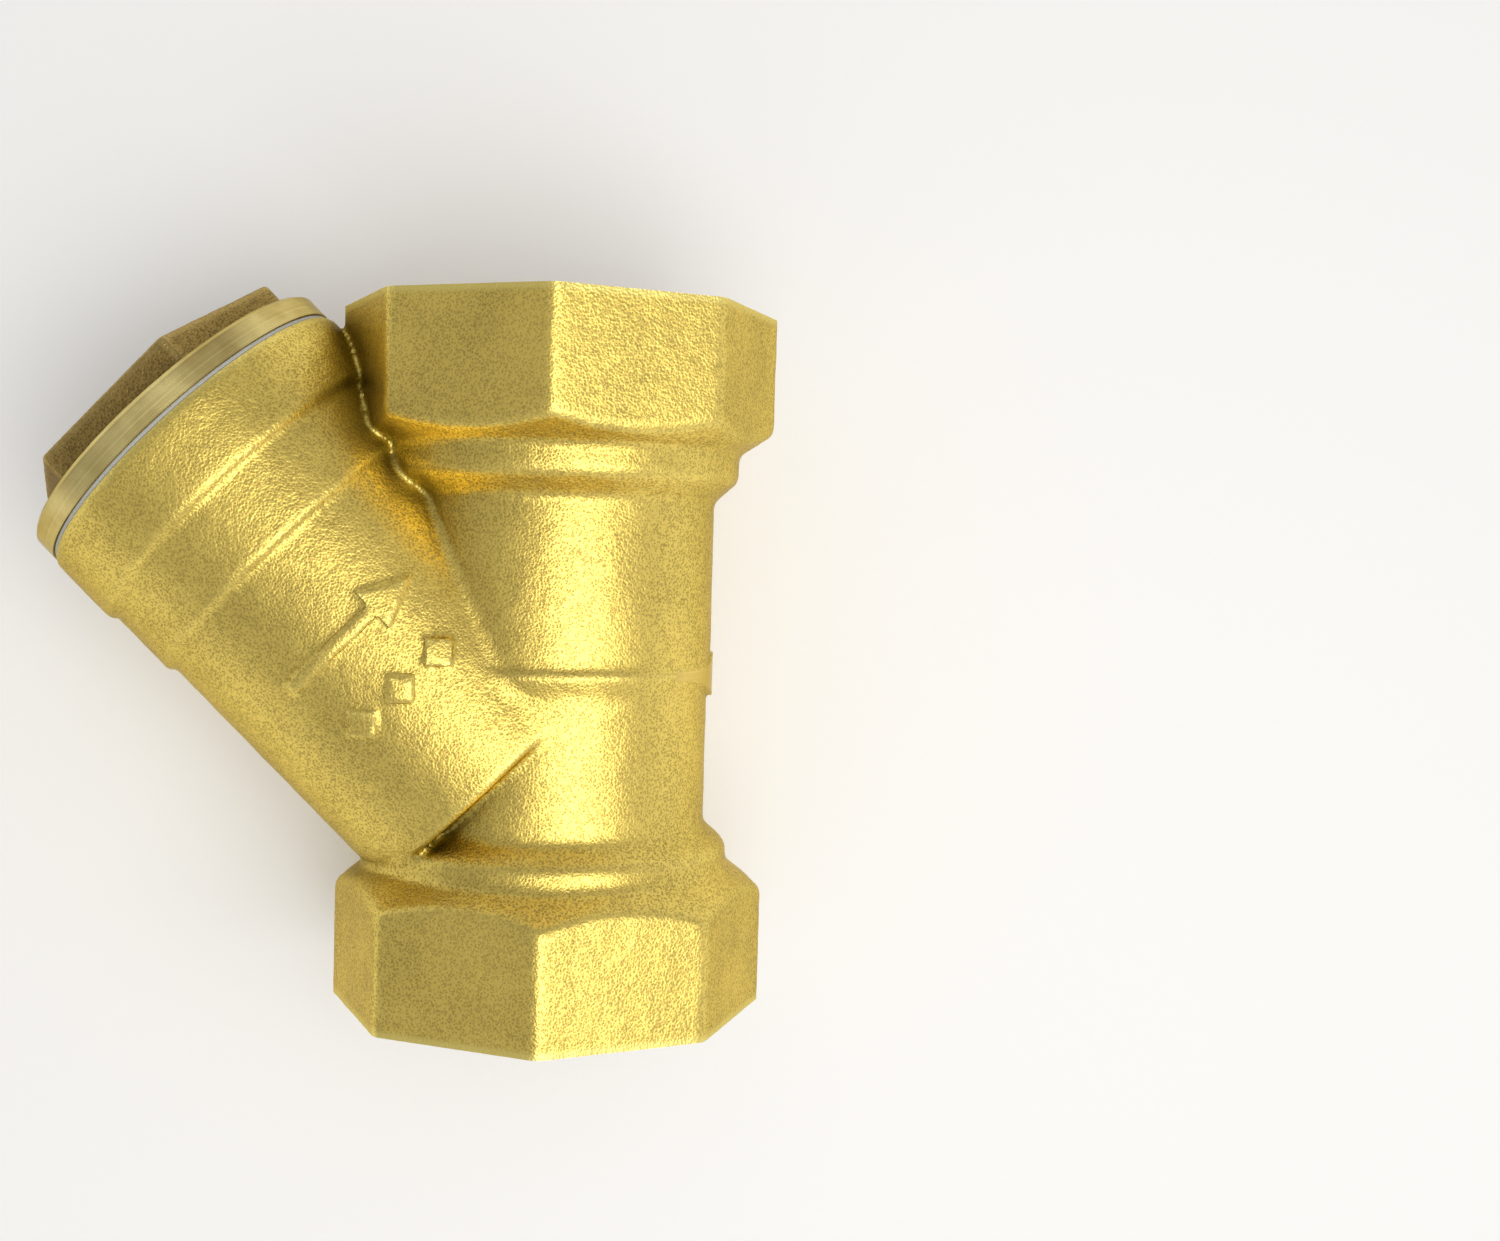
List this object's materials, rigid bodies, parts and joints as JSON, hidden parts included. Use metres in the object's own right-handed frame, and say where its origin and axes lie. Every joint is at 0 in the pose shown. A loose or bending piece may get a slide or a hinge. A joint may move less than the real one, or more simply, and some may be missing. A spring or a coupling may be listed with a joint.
{
  "type": "y strainer",
  "caption": "Cast brass Y strainer with two threaded octagonal ends, and an inclined leg that holds a removable perforated screen under a hexagon screw cap.",
  "frame": {"origin": "centre of the inlet mouth, on the run axis", "axes": "+Y along the run from the inlet to the outlet, the leg leans towards -X, +Z square to the plane of run and leg"},
  "size_m": [0.0912, 0.0881, 0.0542],
  "materials": {
    "cast_brass": "shot-blasted golden cast brass, bright where machined",
    "cap_brass": "duller shot-blasted brass, with a bright turned rim and thread",
    "gasket": "pale grey flat gasket",
    "screen_steel": "perforated stainless sheet"
  },
  "bodies": {
    "strainer_body": {"body": "cast_brass"},
    "screen": {"screen": "screen_steel"},
    "gasket": {"cap_gasket": "gasket"},
    "cap": {"screw_cap": "cap_brass"}
  },
  "joints": [
    {"name": "strainer_pull", "type": "slide", "parent": "strainer_body", "child": "screen", "axis": [-0.7071, 0.7071, 0], "range_m": [0, 0.062]},
    {"name": "gasket_lift", "type": "slide", "parent": "screen", "child": "gasket", "axis": [-0.7071, 0.7071, 0], "range_m": [0, 0.0101]},
    {"name": "cap_turn", "type": "hinge", "parent": "gasket", "child": "cap", "pos_m": [-0.04525, 0.06925, 0], "axis": [-0.7071, 0.7071, 0], "range_deg": [0, 1800]}
  ],
  "couplings": [
    {"joint": "gasket_lift", "follows": "cap_turn", "m_per_rad": 0.00031831}
  ]
}
